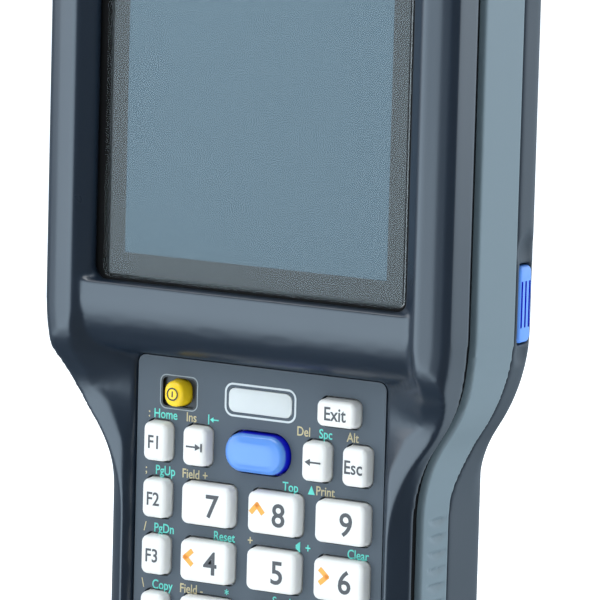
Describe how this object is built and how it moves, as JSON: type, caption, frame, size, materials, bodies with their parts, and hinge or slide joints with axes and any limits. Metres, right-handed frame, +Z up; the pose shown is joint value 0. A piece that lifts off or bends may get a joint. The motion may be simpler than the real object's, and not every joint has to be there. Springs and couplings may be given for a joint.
{
  "type": "handheld data collector",
  "caption": "Rugged handheld computer with a touch display in a wide head, a sprung keypad in a narrow ribbed grip, side scan buttons and a lift-out battery.",
  "frame": {"origin": "centre of the footprint on the flat lower end of the case", "axes": "+Z up the case towards the scanner end, -Y out of the display, +X to the user's right"},
  "size_m": [0.083, 0.0348, 0.2162],
  "materials": {
    "front_shell": "moulded, satin",
    "side_band": "moulded, satin",
    "rear_shell": "moulded, fine texture",
    "seal_rubber": "matte",
    "screw_steel": "blackened",
    "touch_glass": "polished",
    "lcd": "smooth",
    "cast_metal": "cast",
    "circuit_board": "satin",
    "tinned_steel": "bright",
    "engine_body": "matte",
    "scan_glass": "polished",
    "connector_body": "matte",
    "contact_plating": "plated",
    "keypad_grey": "fine texture",
    "lens_plastic": "frosted",
    "silicone": "matte",
    "battery_shell": "fine texture",
    "cell_pouch": "foil",
    "latch_plastic": "satin",
    "scan_blue": "smooth",
    "key_white": "smooth",
    "power_yellow": "smooth",
    "amber_plastic": "smooth",
    "aqua_plastic": "smooth"
  },
  "bodies": {
    "case": {"front_cover": "front_shell", "case_seal": "seal_rubber", "mid_frame": "side_band", "rear_cover": "rear_shell", "case_screws": "screw_steel", "display_glass": "touch_glass", "display_gasket": "seal_rubber", "lcd_module": "lcd", "inner_chassis": "cast_metal", "main_board": "circuit_board", "shield_can": "tinned_steel", "backup_battery": "tinned_steel", "antenna_board": "circuit_board", "scan_engine": "engine_body", "scan_window": "scan_glass", "window_seal": "seal_rubber", "speaker": "engine_body", "microphone": "engine_body", "dock_connector": "connector_body", "dock_contacts": "contact_plating", "keypad_panel": "keypad_grey", "status_lens": "lens_plastic", "keypad_mat": "silicone", "keypad_board": "circuit_board", "battery_contacts": "contact_plating", "strap_bar": "screw_steel", "side_switches": "engine_body"},
    "battery": {"battery_case": "battery_shell", "battery_cells": "cell_pouch"},
    "latch": {"battery_latch": "latch_plastic"},
    "left_side_button": {"side_button_left": "scan_blue"},
    "right_side_button": {"side_button_right": "scan_blue"},
    "power_key_cap": {"power_key": "power_yellow"},
    "exit_key_cap": {"exit_key": "key_white"},
    "f1_key_cap": {"f1_key": "key_white"},
    "tab_key_cap": {"tab_key": "key_white"},
    "scan_key_cap": {"scan_key": "scan_blue"},
    "backspace_key_cap": {"backspace_key": "key_white"},
    "escape_key_cap": {"escape_key": "key_white"},
    "f2_key_cap": {"f2_key": "key_white"},
    "seven_key_cap": {"seven_key": "key_white"},
    "eight_key_cap": {"eight_key": "key_white"},
    "nine_key_cap": {"nine_key": "key_white"},
    "f3_key_cap": {"f3_key": "key_white"},
    "four_key_cap": {"four_key": "key_white"},
    "five_key_cap": {"five_key": "key_white"},
    "six_key_cap": {"six_key": "key_white"},
    "f4_key_cap": {"f4_key": "key_white"},
    "one_key_cap": {"one_key": "key_white"},
    "two_key_cap": {"two_key": "key_white"},
    "three_key_cap": {"three_key": "key_white"},
    "f5_key_cap": {"f5_key": "key_white"},
    "minus_key_cap": {"minus_key": "key_white"},
    "zero_key_cap": {"zero_key": "key_white"},
    "point_key_cap": {"point_key": "key_white"},
    "amber_key_cap": {"amber_key": "amber_plastic"},
    "aqua_key_cap": {"aqua_key": "aqua_plastic"},
    "shift_key_cap": {"shift_key": "key_white"},
    "enter_key_cap": {"enter_key": "key_white"}
  },
  "joints": [
    {"name": "battery_lift", "type": "slide", "parent": "case", "child": "battery", "axis": [0, 1, 0], "range_m": [0, 0.016]},
    {"name": "latch_slide", "type": "slide", "parent": "case", "child": "latch", "axis": [0, 0, 1], "range_m": [0, 0.0025], "stiffness_N_per_m": 400},
    {"name": "left_side_press", "type": "slide", "parent": "case", "child": "left_side_button", "axis": [1, 0, 0], "range_m": [0, 0.0008], "stiffness_N_per_m": 2500},
    {"name": "right_side_press", "type": "slide", "parent": "case", "child": "right_side_button", "axis": [-1, 0, 0], "range_m": [0, 0.0008], "stiffness_N_per_m": 2500},
    {"name": "power_key_press", "type": "slide", "parent": "case", "child": "power_key_cap", "axis": [0, 1, 0], "range_m": [0, 0.0008], "stiffness_N_per_m": 1500},
    {"name": "exit_key_press", "type": "slide", "parent": "case", "child": "exit_key_cap", "axis": [0, 1, 0], "range_m": [0, 0.0008], "stiffness_N_per_m": 1500},
    {"name": "f1_key_press", "type": "slide", "parent": "case", "child": "f1_key_cap", "axis": [0, 1, 0], "range_m": [0, 0.0008], "stiffness_N_per_m": 1500},
    {"name": "tab_key_press", "type": "slide", "parent": "case", "child": "tab_key_cap", "axis": [0, 1, 0], "range_m": [0, 0.0008], "stiffness_N_per_m": 1500},
    {"name": "scan_key_press", "type": "slide", "parent": "case", "child": "scan_key_cap", "axis": [0, 1, 0], "range_m": [0, 0.0008], "stiffness_N_per_m": 1500},
    {"name": "backspace_key_press", "type": "slide", "parent": "case", "child": "backspace_key_cap", "axis": [0, 1, 0], "range_m": [0, 0.0008], "stiffness_N_per_m": 1500},
    {"name": "escape_key_press", "type": "slide", "parent": "case", "child": "escape_key_cap", "axis": [0, 1, 0], "range_m": [0, 0.0008], "stiffness_N_per_m": 1500},
    {"name": "f2_key_press", "type": "slide", "parent": "case", "child": "f2_key_cap", "axis": [0, 1, 0], "range_m": [0, 0.0008], "stiffness_N_per_m": 1500},
    {"name": "seven_key_press", "type": "slide", "parent": "case", "child": "seven_key_cap", "axis": [0, 1, 0], "range_m": [0, 0.0008], "stiffness_N_per_m": 1500},
    {"name": "eight_key_press", "type": "slide", "parent": "case", "child": "eight_key_cap", "axis": [0, 1, 0], "range_m": [0, 0.0008], "stiffness_N_per_m": 1500},
    {"name": "nine_key_press", "type": "slide", "parent": "case", "child": "nine_key_cap", "axis": [0, 1, 0], "range_m": [0, 0.0008], "stiffness_N_per_m": 1500},
    {"name": "f3_key_press", "type": "slide", "parent": "case", "child": "f3_key_cap", "axis": [0, 1, 0], "range_m": [0, 0.0008], "stiffness_N_per_m": 1500},
    {"name": "four_key_press", "type": "slide", "parent": "case", "child": "four_key_cap", "axis": [0, 1, 0], "range_m": [0, 0.0008], "stiffness_N_per_m": 1500},
    {"name": "five_key_press", "type": "slide", "parent": "case", "child": "five_key_cap", "axis": [0, 1, 0], "range_m": [0, 0.0008], "stiffness_N_per_m": 1500},
    {"name": "six_key_press", "type": "slide", "parent": "case", "child": "six_key_cap", "axis": [0, 1, 0], "range_m": [0, 0.0008], "stiffness_N_per_m": 1500},
    {"name": "f4_key_press", "type": "slide", "parent": "case", "child": "f4_key_cap", "axis": [0, 1, 0], "range_m": [0, 0.0008], "stiffness_N_per_m": 1500},
    {"name": "one_key_press", "type": "slide", "parent": "case", "child": "one_key_cap", "axis": [0, 1, 0], "range_m": [0, 0.0008], "stiffness_N_per_m": 1500},
    {"name": "two_key_press", "type": "slide", "parent": "case", "child": "two_key_cap", "axis": [0, 1, 0], "range_m": [0, 0.0008], "stiffness_N_per_m": 1500},
    {"name": "three_key_press", "type": "slide", "parent": "case", "child": "three_key_cap", "axis": [0, 1, 0], "range_m": [0, 0.0008], "stiffness_N_per_m": 1500},
    {"name": "f5_key_press", "type": "slide", "parent": "case", "child": "f5_key_cap", "axis": [0, 1, 0], "range_m": [0, 0.0008], "stiffness_N_per_m": 1500},
    {"name": "minus_key_press", "type": "slide", "parent": "case", "child": "minus_key_cap", "axis": [0, 1, 0], "range_m": [0, 0.0008], "stiffness_N_per_m": 1500},
    {"name": "zero_key_press", "type": "slide", "parent": "case", "child": "zero_key_cap", "axis": [0, 1, 0], "range_m": [0, 0.0008], "stiffness_N_per_m": 1500},
    {"name": "point_key_press", "type": "slide", "parent": "case", "child": "point_key_cap", "axis": [0, 1, 0], "range_m": [0, 0.0008], "stiffness_N_per_m": 1500},
    {"name": "amber_key_press", "type": "slide", "parent": "case", "child": "amber_key_cap", "axis": [0, 1, 0], "range_m": [0, 0.0008], "stiffness_N_per_m": 1500},
    {"name": "aqua_key_press", "type": "slide", "parent": "case", "child": "aqua_key_cap", "axis": [0, 1, 0], "range_m": [0, 0.0008], "stiffness_N_per_m": 1500},
    {"name": "shift_key_press", "type": "slide", "parent": "case", "child": "shift_key_cap", "axis": [0, 1, 0], "range_m": [0, 0.0008], "stiffness_N_per_m": 1500},
    {"name": "enter_key_press", "type": "slide", "parent": "case", "child": "enter_key_cap", "axis": [0, 1, 0], "range_m": [0, 0.0008], "stiffness_N_per_m": 1500}
  ]
}
